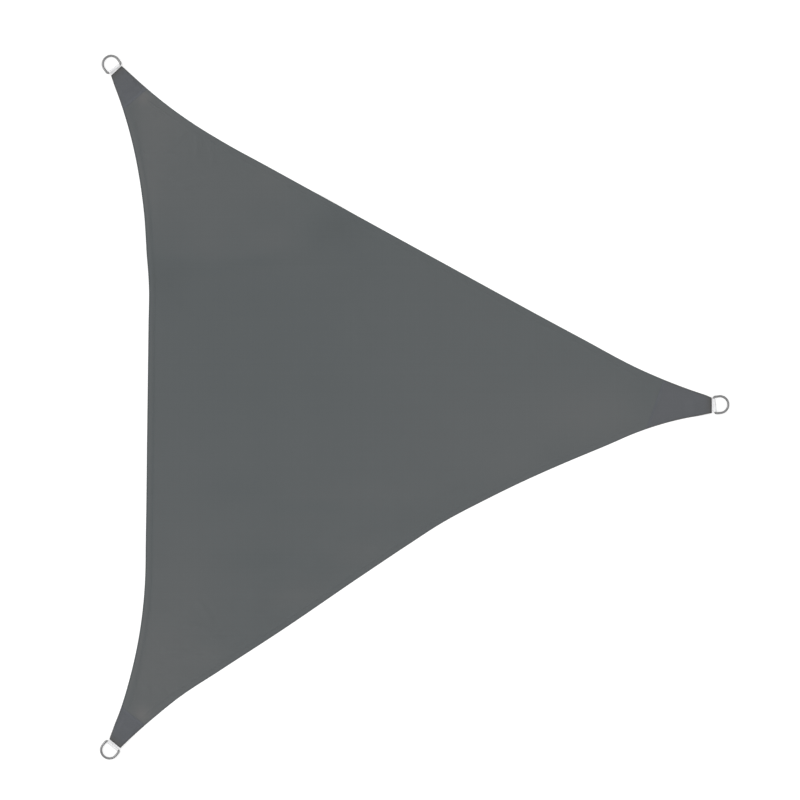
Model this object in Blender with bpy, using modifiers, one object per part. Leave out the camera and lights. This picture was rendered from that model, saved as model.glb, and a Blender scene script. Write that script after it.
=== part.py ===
"""Triangular shade sail: one panel of cloth, hemmed and cut in at its edges, with a corner
patch, a loop of webbing and a D-ring at each of its three corners.

Units are metres and +Z is up. The sail lies flat on z = 0 with its face up. The origin is in
the middle of the sail's box, on the surface that it lies on.
"""
import math
from collections import namedtuple

import bmesh
import bpy
from mathutils import Vector
from mathutils.geometry import delaunay_2d_cdt, intersect_point_line

# The cloth, in plies that lie a small gap apart
CLOTH_THICK = 0.0012
HEM_THICK = 0.0018
PATCH_THICK = 0.0012
PLY_GAP = 0.0003
HEM_WIDTH = 0.0175
HEM_WIDTH_AT_CORNER = 0.028
HEM_NARROWS_OVER = 0.33
HEM_RUNS_OUT_OVER = 0.003
HEMS_OVERLAP_PAST_PATCH = 0.006
PATCH_INSET = 0.0003

# The webbing is folded round the ring's bar, and its two tails lie between panel and patch.
# The patch slopes down more gently past the tails' ends than past their sides.
WEBBING_WIDTH = 0.0374
WEBBING_THICK = 0.0014
LOWER_TAIL = 0.060
UPPER_TAIL = 0.048
WEBBING_BENDS_AHEAD = 0.00045
BAR_CLEARANCE = 0.0004
PATCH_CLEARS_WEBBING = 0.0008
PATCH_SLOPES_OVER = 0.010
PATCH_END_STRETCH = 2.5

# The ring is bent from round wire, and its sizes are taken to the middle of the wire
WIRE_RADIUS = 0.003
RING_HALF_WIDTH = 0.0234
RING_DEPTH = 0.0396
RING_CORNER_RADIUS = 0.0052

# How finely the shapes are divided
OUTLINE_STEP = 0.027
LATTICE_PITCH = 0.037
LATTICE_CLEARS_LOOP = 0.55
TANGENT_STEP = 0.002
MERGE_WITHIN = 1e-6
LOOP_STEPS = 14
CORNER_STEPS = 4
BOW_STEPS = 21
PATCH_SLOPE_STEPS = 4
PATCH_SLOPE_CORNER_STEPS = 4
WIRE_SIDES = 10

# Each corner is cut straight across. x and y are the middle of the cut, faces is the way the
# cut looks and pulls the way the ring lies, in degrees from +X. The ring's bar lies bar_ahead
# past the cut. The patch reaches patch_out along the edge that leaves the corner, going round
# anticlockwise, and patch_in along the edge that arrives there.
Corner = namedtuple("Corner", "x y faces cut_width pulls bar_ahead patch_out patch_in")
CORNERS = {
    "upper": Corner(-0.83765, 0.94450, 132.5, 0.0406, 126.5, 0.0078, 0.096, 0.094),
    "lower": Corner(-0.84195, -0.94445, 230.5, 0.0403, 230.5, 0.0080, 0.092, 0.091),
    "right": Corner(0.83405, 0.00530, 1.0, 0.0438, 6.5, 0.0071, 0.142, 0.184),
}

# The edges are cut in from the straight line between two corners. along is measured on that
# line from the first corner, and inset from it into the cloth.
Station = namedtuple("Station", "along inset")
LEFT_EDGE = (
    Station(0.030, 0.0100),
    Station(0.060, 0.0213),
    Station(0.130, 0.0440),
    Station(0.200, 0.0625),
    Station(0.280, 0.0785),
    Station(0.380, 0.0925),
    Station(0.500, 0.1010),
    Station(0.590, 0.1075),
    Station(0.700, 0.1065),
    Station(1.000, 0.1035),
    Station(1.300, 0.1005),
    Station(1.430, 0.0980),
    Station(1.520, 0.0900),
    Station(1.610, 0.0755),
    Station(1.700, 0.0545),
    Station(1.780, 0.0305),
    Station(1.830, 0.0115),
)
BOTTOM_EDGE = (
    Station(0.030, 0.0078),
    Station(0.060, 0.0148),
    Station(0.130, 0.0290),
    Station(0.210, 0.0420),
    Station(0.350, 0.0515),
    Station(0.560, 0.0645),
    Station(0.810, 0.0855),
    Station(1.000, 0.0995),
    Station(1.080, 0.1045),
    Station(1.250, 0.1005),
    Station(1.360, 0.0935),
    Station(1.470, 0.0828),
    Station(1.610, 0.0660),
    Station(1.700, 0.0559),
    Station(1.780, 0.0400),
    Station(1.850, 0.0195),
    Station(1.870, 0.0123),
)
TOP_EDGE = (
    Station(0.020, 0.0023),
    Station(0.040, 0.0062),
    Station(0.060, 0.0099),
    Station(0.110, 0.0178),
    Station(0.215, 0.0294),
    Station(0.400, 0.0341),
    Station(0.900, 0.0406),
    Station(1.400, 0.0451),
    Station(1.550, 0.0465),
    Station(1.650, 0.0424),
    Station(1.730, 0.0339),
    Station(1.820, 0.0180),
    Station(1.870, 0.0068),
)

# Low folds that the cloth keeps as it lies: each is a soft ridge along a bent line, given by
# the line's plan points, the ridge's half width and its height.
Ridge = namedtuple("Ridge", "path half_width height")
RIDGES = (
    Ridge(((-0.75, 0.39), (-0.56, 0.41), (-0.32, 0.46), (-0.20, 0.62)), 0.075, 0.0050),
    Ridge(((-0.20, 0.27), (-0.10, 0.15)), 0.050, 0.0030),
    Ridge(((-0.13, -0.14), (0.10, -0.14), (0.42, -0.12)), 0.055, 0.0025),
    Ridge(((-0.50, -0.55), (-0.30, -0.46), (-0.14, -0.33), (0.14, -0.23)), 0.065, 0.0045),
    Ridge(((-0.74, -0.60), (-0.56, -0.64)), 0.050, 0.0030),
    Ridge(((-0.74, 0.68), (-0.60, 0.74)), 0.050, 0.0030),
)
RIDGE_ENDS_OVER = 0.09
FLAT_ROUND_CORNER = 0.22
FLAT_GIVES_WAY_OVER = 0.10

CLOTH_GREY = (0.114, 0.125, 0.127)
PATCH_GREY = (0.102, 0.112, 0.112)
WEBBING_WHITE = (0.80, 0.81, 0.82)
STEEL_GREY = (0.55, 0.56, 0.57)

BAR_HEIGHT = WIRE_RADIUS + BAR_CLEARANCE + WEBBING_THICK
LOWER_TAIL_HEIGHT = HEM_THICK + PLY_GAP + WEBBING_THICK / 2
UPPER_TAIL_HEIGHT = LOWER_TAIL_HEIGHT + WEBBING_THICK + PLY_GAP
PATCH_LIES_AT = HEM_THICK + PLY_GAP
PATCH_RISES_TO = UPPER_TAIL_HEIGHT + WEBBING_THICK / 2 + PLY_GAP


def direction(degrees):
    """Returns the unit plan vector that points this way, anticlockwise from +X."""
    angle = math.radians(degrees)
    return Vector((math.cos(angle), math.sin(angle)))


def left_of(vector):
    """Returns a plan vector turned a quarter turn anticlockwise."""
    return Vector((-vector.y, vector.x))


def clamp(value):
    """Returns the value held between 0 and 1."""
    return min(max(value, 0.0), 1.0)


def ease(value):
    """Returns a soft step from 0 to 1."""
    value = clamp(value)
    return value * value * (3 - 2 * value)


def smooth_through(rows, place):
    """Returns the height at a place of a smooth curve through rows of (place, height)."""
    slopes = [(b[1] - a[1]) / (b[0] - a[0]) for a, b in zip(rows, rows[1:])]
    spans = [b[0] - a[0] for a, b in zip(rows, rows[1:])]
    tangents = [slopes[0]]
    for before, after in zip(range(len(slopes) - 1), range(1, len(slopes))):
        weight = spans[before] + spans[after]
        tangents.append((slopes[before] * spans[after] + slopes[after] * spans[before]) / weight)
    tangents.append(slopes[-1])
    index = 0
    while index < len(spans) - 1 and place > rows[index + 1][0]:
        index += 1
    span = spans[index]
    t = (place - rows[index][0]) / span
    start, end = rows[index][1], rows[index + 1][1]
    return ((2 * t**3 - 3 * t**2 + 1) * start + (t**3 - 2 * t**2 + t) * span * tangents[index]
            + (3 * t**2 - 2 * t**3) * end + (t**3 - t**2) * span * tangents[index + 1])


def cut_end(corner, side):
    """Returns the plan point where a corner's cut ends, on its left for 1 or right for -1."""
    across = left_of(direction(corner.faces))
    return Vector((corner.x, corner.y)) + across * (side * corner.cut_width / 2)


class Edge:
    """One edge of the sail, from the corner it leaves to the corner where it arrives."""

    def __init__(self, first, last, stations):
        self.first, self.last = CORNERS[first], CORNERS[last]
        self.start = cut_end(self.first, 1)
        end = cut_end(self.last, -1)
        self.length = (end - self.start).length
        self.run = (end - self.start) / self.length
        self.rows = [(0.0, 0.0), *stations, (self.length, 0.0)]

    def point(self, along, inward=0.0):
        """Returns the plan point at this place along, this far inside the cloth's edge."""
        inset = smooth_through(self.rows, along)
        on_edge = self.start + self.run * along + left_of(self.run) * inset
        if inward == 0.0:
            return on_edge
        further = smooth_through(self.rows, along + TANGENT_STEP) - inset
        tangent = (self.run * TANGENT_STEP + left_of(self.run) * further).normalized()
        return on_edge + left_of(tangent) * inward

    def hem_width(self, along):
        """Returns how wide the hem is here: it widens towards the corners."""
        from_corner = min(along, self.length - along)
        widened = (HEM_WIDTH_AT_CORNER - HEM_WIDTH) * (1 - ease(from_corner / HEM_NARROWS_OVER))
        return HEM_WIDTH + widened

    def places(self, low, high):
        """Returns evenly spaced places from low to high, about one outline step apart."""
        count = max(1, round((high - low) / OUTLINE_STEP))
        return [low + (high - low) * k / count for k in range(count + 1)]


EDGES = {
    "left": Edge("upper", "lower", LEFT_EDGE),
    "bottom": Edge("lower", "right", BOTTOM_EDGE),
    "top": Edge("right", "upper", TOP_EDGE),
}
EDGES_AT_CORNER = {
    "upper": ("left", "top"),
    "lower": ("bottom", "left"),
    "right": ("top", "bottom"),
}


def distance_to_path(point, path):
    """Returns the distance from a plan point to a bent line, how far along the line the
    nearest point is, and the line's whole length."""
    best, place, passed = math.inf, 0.0, 0.0
    for start, end in zip(path, path[1:]):
        start, end = Vector(start), Vector(end)
        span = (end - start).length
        nearest, part = intersect_point_line(point, start, end)
        part = clamp(part)
        nearest = start.lerp(end, part)
        gap = (point - nearest).length
        if gap < best:
            best, place = gap, passed + part * span
        passed += span
    return best, place, passed


def lie(point):
    """Returns the height of the cloth's underside over the surface at a plan point."""
    height = 0.0
    for ridge in RIDGES:
        gap, place, length = distance_to_path(point, ridge.path)
        if gap < ridge.half_width:
            profile = math.cos(math.pi / 2 * gap / ridge.half_width) ** 2
            end_fade = ease((min(place, length - place) + gap) / RIDGE_ENDS_OVER)
            height = max(height, ridge.height * profile * end_fade)
    for corner in CORNERS.values():
        away = (point - Vector((corner.x, corner.y))).length
        height *= ease((away - FLAT_ROUND_CORNER) / FLAT_GIVES_WAY_OVER)
    return height


def is_inside(point, loop):
    """Tells whether a plan point is inside a closed loop."""
    inside = False
    for a, b in zip(loop, loop[1:] + loop[:1]):
        if (a.y > point.y) != (b.y > point.y):
            crossing = a.x + (point.y - a.y) * (b.x - a.x) / (b.y - a.y)
            inside ^= point.x < crossing
    return inside


def shrunk(loop, inward):
    """Returns an anticlockwise loop with each point moved inwards."""
    moved = []
    for before, point, after in zip(loop[-1:] + loop[:-1], loop, loop[1:] + loop[:1]):
        arriving = left_of((point - before).normalized())
        leaving = left_of((after - point).normalized())
        middle = (arriving + leaving).normalized()
        moved.append(point + middle * inward / max(0.5, middle.dot(arriving)))
    return moved


def lattice(loop, pitch):
    """Returns the points of a triangular lattice that lie well inside a loop."""
    closed = loop + loop[:1]
    low_x, high_x = min(p.x for p in loop), max(p.x for p in loop)
    low_y, high_y = min(p.y for p in loop), max(p.y for p in loop)
    row_pitch = pitch * math.sqrt(3) / 2
    clear = pitch * LATTICE_CLEARS_LOOP
    points = []
    for row in range(int((high_y - low_y) / row_pitch) + 1):
        offset = pitch / 2 * (row % 2)
        for column in range(int((high_x - low_x) / pitch) + 1):
            point = Vector((low_x + offset + column * pitch, low_y + row * row_pitch))
            if is_inside(point, loop) and distance_to_path(point, closed)[0] > clear:
                points.append(point)
    return points


def material(name, colour, roughness, metallic=0.0):
    """Returns a plain material with one Principled BSDF."""
    made = bpy.data.materials.new(name)
    made.use_nodes = True
    shader = made.node_tree.nodes["Principled BSDF"]
    shader.inputs["Base Color"].default_value = (*colour, 1.0)
    shader.inputs["Roughness"].default_value = roughness
    shader.inputs["Metallic"].default_value = metallic
    return made


def add_object(name, data, finish, parent):
    """Puts new data in the sail's collection under its parent, with its material."""
    made = bpy.data.objects.new(name, data)
    data.materials.append(finish)
    made.parent = parent
    parent.users_collection[0].objects.link(made)
    return made


def add_sheet(name, loops, points, height, plies, thick, finish, parent):
    """Adds cloth cut to the first loop, with an edge along every other loop, and points
    between. height(point) is its underside, and plies(point) the share of its thickness."""
    flat, ties = [], []
    for loop in loops:
        first = len(flat)
        flat += loop
        ties += [(first + k, first + (k + 1) % len(loop)) for k in range(len(loop))]
    corners, _, faces, *_ = delaunay_2d_cdt(flat + points, ties, [], 0, MERGE_WITHIN)
    cut = loops[0]
    kept = [f for f in faces if is_inside(sum((corners[k] for k in f), Vector((0, 0))) / 3, cut)]
    mesh = bpy.data.meshes.new(name)
    mesh.from_pydata([(p.x, p.y, height(p)) for p in corners], [], kept)
    shape = bmesh.new()
    shape.from_mesh(mesh)
    bmesh.ops.delete(shape, geom=[v for v in shape.verts if not v.link_faces], context="VERTS")
    shape.normal_update()
    if sum(face.normal.z for face in shape.faces) < 0:
        bmesh.ops.reverse_faces(shape, faces=shape.faces)
    shape.to_mesh(mesh)
    shape.free()
    sheet = add_object(name, mesh, finish, parent)
    group = sheet.vertex_groups.new(name="plies")
    for vertex in mesh.vertices:
        group.add([vertex.index], plies(vertex.co.xy), "REPLACE")
    shell = sheet.modifiers.new("cloth", "SOLIDIFY")
    shell.thickness = thick
    shell.offset = 1
    shell.vertex_group = group.name
    return sheet


def sail_outline():
    """Returns the panel's cut edge as one anticlockwise loop."""
    return [edge.point(along) for edge in EDGES.values() for along in edge.places(0, edge.length)]


def hem_line():
    """Returns the loop along which the hems are turned in, short of the overlapping corners."""
    loop = []
    for edge in EDGES.values():
        low = edge.first.patch_out + HEMS_OVERLAP_PAST_PATCH
        high = edge.length - edge.last.patch_in - HEMS_OVERLAP_PAST_PATCH
        loop += [edge.point(along, edge.hem_width(along)) for along in edge.places(low, high)]
    return loop


def add_panel(finish, parent):
    """Adds the sail's one panel, thicker along its hems."""
    hem = hem_line()
    field = shrunk(hem, HEM_RUNS_OUT_OVER)
    just_inside_hem = shrunk(hem, HEM_RUNS_OUT_OVER / 2)

    def plies(point):
        return CLOTH_THICK / HEM_THICK if is_inside(point, just_inside_hem) else 1.0

    add_sheet("sail_panel", [sail_outline(), hem, field], lattice(field, LATTICE_PITCH), lie,
              plies, HEM_THICK, finish, parent)


def patch_outline(corner_name):
    """Returns the corner patch's edge: out along one edge of the sail, across, and back."""
    corner = CORNERS[corner_name]
    leaving, arriving = (EDGES[name] for name in EDGES_AT_CORNER[corner_name])
    out = leaving.places(0, corner.patch_out)
    back = arriving.places(arriving.length - corner.patch_in, arriving.length)
    return shrunk([leaving.point(a) for a in out] + [arriving.point(a) for a in back],
                  PATCH_INSET)


def line_round_tail(corner_name, margin):
    """Returns the plan loop that clears the webbing under a patch by this margin, with
    rounded corners at the upper tail's end, where the margin is stretched."""
    corner = CORNERS[corner_name]
    ahead = direction(corner.pulls)
    aside = left_of(ahead)
    middle = bar_centre(corner_name).xy
    tail_end = middle - ahead * (corner.bar_ahead + UPPER_TAIL)
    loop = []
    for side, turns in ((1, (0, 1)), (-1, (1, 0))):
        for step in range(PATCH_SLOPE_CORNER_STEPS + 1):
            share = step / PATCH_SLOPE_CORNER_STEPS
            angle = math.pi / 2 * (turns[0] + (turns[1] - turns[0]) * share)
            out = WEBBING_WIDTH / 2 + margin * math.cos(angle)
            back = margin * PATCH_END_STRETCH * math.sin(angle)
            loop.append(tail_end + aside * (side * out) - ahead * back)
    half = aside * (WEBBING_WIDTH / 2 + margin)
    return [middle + half, *loop, middle - half]


def add_patch(corner_name, finish, parent):
    """Adds the cloth patch that covers a corner and the webbing's tails."""
    corner = CORNERS[corner_name]
    ahead = direction(corner.pulls)
    middle = bar_centre(corner_name).xy

    def height(point):
        offset = point - middle
        past_side = max(0.0, abs(offset.dot(left_of(ahead))) - WEBBING_WIDTH / 2)
        past_end = max(0.0, -offset.dot(ahead) - corner.bar_ahead - UPPER_TAIL)
        clear = math.hypot(past_side, past_end / PATCH_END_STRETCH) - PATCH_CLEARS_WEBBING
        return PATCH_RISES_TO + (PATCH_LIES_AT - PATCH_RISES_TO) * ease(clear / PATCH_SLOPES_OVER)

    slope = [line_round_tail(corner_name, PATCH_CLEARS_WEBBING + PATCH_SLOPES_OVER * k
                             / PATCH_SLOPE_STEPS) for k in range(PATCH_SLOPE_STEPS + 1)]
    add_sheet("corner_patch_" + corner_name, [patch_outline(corner_name), *slope], [],
              height, lambda point: 1.0, PATCH_THICK, finish, parent)


def bar_centre(corner_name):
    """Returns the middle of the ring's bar, just ahead of the cloth's cut end."""
    corner = CORNERS[corner_name]
    plan = Vector((corner.x, corner.y)) + direction(corner.faces) * corner.bar_ahead
    return Vector((plan.x, plan.y, BAR_HEIGHT))


def touching_angle(point, radius, turn):
    """Returns where a line from a point touches a circle round the origin, as an angle."""
    outer = math.hypot(*point)
    return math.atan2(point[1], point[0]) + turn * math.acos(radius / outer)


def webbing_path(corner):
    """Returns the folded webbing's centre line as (ahead, up) from the ring's bar. Its tails
    bend just past the cut, at the side where the cut comes nearest to the bar."""
    radius = WIRE_RADIUS + BAR_CLEARANCE + WEBBING_THICK / 2
    turned = math.radians(abs(corner.pulls - corner.faces))
    bend = (WEBBING_BENDS_AHEAD + WEBBING_WIDTH / 2 * math.sin(turned)
            - corner.bar_ahead * math.cos(turned))
    lower = LOWER_TAIL_HEIGHT - BAR_HEIGHT
    upper = UPPER_TAIL_HEIGHT - BAR_HEIGHT
    first = touching_angle((bend, lower), radius, 1) % math.tau
    last = touching_angle((bend, upper), radius, -1) % math.tau + math.tau
    angles = [first + (last - first) * k / LOOP_STEPS for k in range(LOOP_STEPS + 1)]
    fold = [(radius * math.cos(a), radius * math.sin(a)) for a in angles]
    return [(-corner.bar_ahead - LOWER_TAIL, lower), (bend, lower), *fold,
            (bend, upper), (-corner.bar_ahead - UPPER_TAIL, upper)]


def add_webbing(corner_name, finish, parent):
    """Adds the strip of webbing folded round the ring's bar."""
    path = webbing_path(CORNERS[corner_name])
    half = WEBBING_WIDTH / 2
    mesh = bpy.data.meshes.new("webbing_loop_" + corner_name)
    corners = [(x, side * half, z) for x, z in path for side in (-1, 1)]
    faces = [(2 * k, 2 * k + 1, 2 * k + 3, 2 * k + 2) for k in range(len(path) - 1)]
    mesh.from_pydata(corners, [], faces)
    strip = add_object(mesh.name, mesh, finish, parent)
    shell = strip.modifiers.new("webbing", "SOLIDIFY")
    shell.thickness = WEBBING_THICK
    shell.offset = 0
    shell.use_even_offset = True


def arc(centre, radius, first, last, steps):
    """Returns points round an arc, from the first angle to the last, in degrees."""
    angles = [math.radians(first + (last - first) * k / steps) for k in range(steps + 1)]
    return [(centre[0] + radius * math.cos(a), centre[1] + radius * math.sin(a)) for a in angles]


def ring_path():
    """Returns the D-ring's centre line: a bar along y, two tight corners and a round bow."""
    radius = RING_CORNER_RADIUS
    side = RING_HALF_WIDTH - radius
    bow_centre = (RING_DEPTH - RING_HALF_WIDTH, 0)
    return (arc((radius, -side), radius, 180, 270, CORNER_STEPS)
            + arc(bow_centre, RING_HALF_WIDTH, -90, 90, BOW_STEPS)
            + arc((radius, side), radius, 90, 180, CORNER_STEPS))


def add_ring(corner_name, finish, parent):
    """Adds a D-ring on its bar, with its bow lowered until it rests on the surface. The wire
    has a flat facet inside the bow, where a hook or shackle pulls."""
    path = ring_path()
    curve = bpy.data.curves.new("d_ring_" + corner_name, "CURVE")
    curve.dimensions = "3D"
    curve.bevel_depth = WIRE_RADIUS
    curve.bevel_resolution = (WIRE_SIDES - 4) // 2
    spline = curve.splines.new("POLY")
    spline.points.add(len(path) - 1)
    for point, (x, y) in zip(spline.points, path):
        point.co = (x, y, 0, 1)
        point.tilt = math.pi / WIRE_SIDES
    spline.use_cyclic_u = True
    ring = add_object(curve.name, curve, finish, parent)
    ring.rotation_euler.y = math.asin((BAR_HEIGHT - WIRE_RADIUS) / RING_DEPTH)


def add_corner(corner_name, finishes, sail):
    """Adds the patch, webbing and ring of one corner. The ring swivels on its bar's axis."""
    add_patch(corner_name, finishes["patch"], sail)
    bar = bpy.data.objects.new("bar_axis_" + corner_name, None)
    bar.location = bar_centre(corner_name)
    bar.rotation_euler.z = math.radians(CORNERS[corner_name].pulls)
    bar.parent = sail
    sail.users_collection[0].objects.link(bar)
    add_webbing(corner_name, finishes["webbing"], bar)
    add_ring(corner_name, finishes["steel"], bar)


def main():
    for leftover in list(bpy.data.objects):
        bpy.data.objects.remove(leftover)
    collection = bpy.data.collections.new("shade sail")
    bpy.context.scene.collection.children.link(collection)
    sail = bpy.data.objects.new("sail", None)
    collection.objects.link(sail)
    finishes = {
        "cloth": material("grey sailcloth", CLOTH_GREY, 0.85),
        "patch": material("doubled grey sailcloth", PATCH_GREY, 0.85),
        "webbing": material("white webbing", WEBBING_WHITE, 0.75),
        "steel": material("polished steel wire", STEEL_GREY, 0.25, 1.0),
    }
    add_panel(finishes["cloth"], sail)
    for corner_name in CORNERS:
        add_corner(corner_name, finishes, sail)


main()
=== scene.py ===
"""Dresses the solids of a triangular shade sail that lies flat with its face up.

The cloth, its corner patches, the webbing loops, the D-rings and the sewing each have an
operator, and main() runs them in order. Lengths are in metres, and +Z is up.
"""
import math
from collections import namedtuple

import bpy
import numpy as np
from bpy.props import FloatProperty, FloatVectorProperty, IntProperty, PointerProperty
from bpy.types import Operator, Panel, PropertyGroup
from mathutils.geometry import delaunay_2d_cdt
from mathutils.kdtree import KDTree
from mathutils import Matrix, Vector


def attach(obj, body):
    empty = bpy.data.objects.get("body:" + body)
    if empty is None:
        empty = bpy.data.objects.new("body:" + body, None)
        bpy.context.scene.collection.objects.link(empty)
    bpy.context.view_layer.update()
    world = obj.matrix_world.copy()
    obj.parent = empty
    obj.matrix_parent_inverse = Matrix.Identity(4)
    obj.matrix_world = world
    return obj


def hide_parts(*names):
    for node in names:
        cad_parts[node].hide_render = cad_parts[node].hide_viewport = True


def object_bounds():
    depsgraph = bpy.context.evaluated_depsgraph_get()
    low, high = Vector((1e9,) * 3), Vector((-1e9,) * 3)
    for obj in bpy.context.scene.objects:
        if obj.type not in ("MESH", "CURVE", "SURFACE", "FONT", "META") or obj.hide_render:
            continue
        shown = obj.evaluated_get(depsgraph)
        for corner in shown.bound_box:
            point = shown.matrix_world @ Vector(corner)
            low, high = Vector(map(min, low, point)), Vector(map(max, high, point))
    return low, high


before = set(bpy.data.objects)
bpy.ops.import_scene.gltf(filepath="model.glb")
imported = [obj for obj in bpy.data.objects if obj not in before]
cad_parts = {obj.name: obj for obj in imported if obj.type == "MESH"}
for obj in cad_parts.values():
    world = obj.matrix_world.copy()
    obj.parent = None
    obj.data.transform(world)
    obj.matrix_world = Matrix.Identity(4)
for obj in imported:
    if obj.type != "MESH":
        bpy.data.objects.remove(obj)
CAD_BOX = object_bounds()

bl_info = {
    "name": "Triangular Shade Sail",
    "version": (1, 0, 0),
    "blender": (4, 5, 0),
    "location": "View3D > Sidebar > Shade Sail",
    "description": "Makes the cloth, corners, rings and sewing of a shade sail laid flat",
    "category": "Object",
}

BODY = "root"

# Each corner is cut straight across. at is the middle of the cut, faces is the way the cut
# looks and pulls the way the ring lies, in degrees from +X. The ring's bar lies bar_ahead past
# the cut. The patch reaches patch_out along the edge that leaves the corner, going round
# anticlockwise, and patch_in along the edge that arrives there. patch_tone is what the patch
# adds to the cloth's brightness, and the last field is painted light along the seam at the
# patch's inner end.
Corner = namedtuple(
    "Corner", "name at faces cut_width pulls bar_ahead patch_out patch_in patch_tone seam_tone")
UPPER = Corner(
    "upper", (-0.83765, 0.94450), 132.5, 0.0406, 126.5, 0.0078, 0.096, 0.094, -0.010, 0.20)
LOWER = Corner(
    "lower", (-0.84195, -0.94445), 230.5, 0.0403, 230.5, 0.0080, 0.092, 0.091, 0.0, 0.11)
RIGHT = Corner(
    "right", (0.83405, 0.00530), 1.0, 0.0438, 6.5, 0.0071, 0.142, 0.184, -0.028, 0.04)
CORNERS = (UPPER, LOWER, RIGHT)

# The edges are cut in from the straight line between two corners. Each row gives a place along
# that line from the first corner, and how far the cloth's edge is inside the line there.
LEFT_EDGE = (
    (0.03, 0.01), (0.06, 0.0213), (0.13, 0.044), (0.2, 0.0625), (0.28, 0.0785), (0.38, 0.0925),
    (0.5, 0.101), (0.59, 0.1075), (0.7, 0.1065), (1, 0.1035), (1.3, 0.1005), (1.43, 0.098),
    (1.52, 0.09), (1.61, 0.0755), (1.7, 0.0545), (1.78, 0.0305), (1.83, 0.0115),
)
BOTTOM_EDGE = (
    (0.03, 0.0078), (0.06, 0.0148), (0.13, 0.029), (0.21, 0.042), (0.35, 0.0515), (0.56, 0.0645),
    (0.81, 0.0855), (1, 0.0995), (1.08, 0.1045), (1.25, 0.1005), (1.36, 0.0935), (1.47, 0.0828),
    (1.61, 0.066), (1.7, 0.0559), (1.78, 0.04), (1.85, 0.0195), (1.87, 0.0123),
)
TOP_EDGE = (
    (0.02, 0.0023), (0.04, 0.0062), (0.06, 0.0099), (0.11, 0.0178), (0.215, 0.0294), (0.4, 0.0341),
    (0.9, 0.0406), (1.4, 0.0451), (1.55, 0.0465), (1.65, 0.0424), (1.73, 0.0339), (1.82, 0.018),
    (1.87, 0.0068),
)
# An edge's direction is measured over this length.
TANGENT_STEP = 0.002

# Low folds that the cloth keeps as it lies: each is a soft ridge along a bent line, given by
# the line's plan points, the ridge's half width and its height. They fade at their ends and
# round the corners, where the cloth lies flat.
FOLDS = (
    (((-0.75, 0.39), (-0.56, 0.41), (-0.32, 0.46), (-0.2, 0.62)), 0.075, 0.005),
    (((-0.2, 0.27), (-0.1, 0.15)), 0.05, 0.003),
    (((-0.13, -0.14), (0.1, -0.14), (0.42, -0.12)), 0.055, 0.0025),
    (((-0.5, -0.55), (-0.3, -0.46), (-0.14, -0.33), (0.14, -0.23)), 0.065, 0.0045),
    (((-0.74, -0.6), (-0.56, -0.64)), 0.05, 0.003), (((-0.74, 0.68), (-0.6, 0.74)), 0.05, 0.003),
)
FOLD_ENDS_OVER = 0.09
FLAT_ROUND_CORNER = 0.22
FLAT_GIVES_WAY_OVER = 0.10

# Short creases that run out of the corners, where the hems and the patches hold the cloth.
CREASES = (
    (((-0.651, -0.604), (-0.596, -0.625), (-0.542, -0.643)), 0.016, 0.0029),
    (((-0.61, -0.542), (-0.58, -0.585), (-0.562, -0.621)), 0.013, 0.002),
    (((-0.716, -0.685), (-0.63, -0.694), (-0.537, -0.713)), 0.014, 0.0024),
    (((-0.748, -0.722), (-0.68, -0.745)), 0.012, 0.0018),
    (((-0.764, -0.767), (-0.739, -0.806)), 0.009, 0.002),
    (((-0.727, -0.778), (-0.699, -0.809)), 0.009, 0.0018),
    (((-0.531, -0.637), (-0.477, -0.654)), 0.014, 0.0022),
    (((-0.751, -0.655), (-0.722, -0.677)), 0.01, 0.0015),
    (((-0.702, 0.728), (-0.668, 0.752), (-0.64, 0.773)), 0.015, 0.0026),
    (((-0.758, 0.709), (-0.71, 0.712), (-0.668, 0.704)), 0.013, 0.0022),
    (((-0.744, 0.672), (-0.728, 0.66)), 0.01, 0.0015),
    (((-0.716, 0.652), (-0.66, 0.643)), 0.013, 0.0018),
    (((-0.666, 0.618), (-0.596, 0.64)), 0.02, 0.0026),
    (((-0.744, 0.818), (-0.724, 0.829)), 0.009, 0.0015),
    (((-0.613, 0.77), (-0.612, 0.696)), 0.011, 0.0013),
    (((-0.57, 0.752), (-0.566, 0.672)), 0.012, 0.0013),
    (((0.6, 0.082), (0.668, 0.066)), 0.012, 0.0013),
    (((0.56, -0.074), (0.622, -0.054)), 0.012, 0.0013),
)
CREASE_ENDS_OVER = 0.018

# Painted light and shade in place of the cloth's fold shading and small highlights: soft spots
# at x and y that reach this far along X and Y, and the share of the cloth's brightness they add.
PAINTED_LIGHT_SPOTS = (
    (-0.7, 0.79, 0.12, 0.12, 0.04), (-0.58, 0.6, 0.22, 0.14, 0.03),
    (-0.405, 0.65, 0.05, 0.06, 0.03), (-0.4, 0.47, 0.06, 0.04, 0.03),
    (-0.58, 0.47, 0.05, 0.05, 0.02), (-0.73, 0.835, 0.07, 0.08, 0.045),
    (-0.744, 0.638, 0.04, 0.1, 0.04), (-0.765, 0.873, 0.022, 0.022, 0.13),
    (-0.71, 0.371, 0.07, 0.045, -0.05), (-0.68, 0.29, 0.05, 0.06, -0.025),
    (-0.477, 0.301, 0.12, 0.05, -0.015), (-0.21, 0.51, 0.1, 0.06, -0.045),
    (-0.13, 0.42, 0.12, 0.08, -0.02), (-0.435, 0.161, 0.38, 0.3, -0.032),
    (0.183, -0.064, 0.22, 0.16, 0.02), (0.27, -0.161, 0.09, 0.045, 0.024),
    (0.52, -0.02, 0.2, 0.09, 0.055), (0.65, 0.02, 0.05, 0.07, -0.02),
    (-0.5, -0.23, 0.1, 0.05, -0.022), (-0.15, -0.41, 0.08, 0.04, 0.035),
    (-0.4, -0.431, 0.14, 0.035, -0.022), (-0.579, -0.701, 0.05, 0.04, 0.03),
    (-0.13, -0.24, 0.16, 0.035, 0.02), (-0.33, -0.53, 0.09, 0.035, 0.04),
    (-0.64, -0.47, 0.11, 0.14, 0.03), (-0.72, -0.74, 0.14, 0.18, 0.07),
    (-0.766, -0.866, 0.026, 0.026, 0.13),
)
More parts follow.
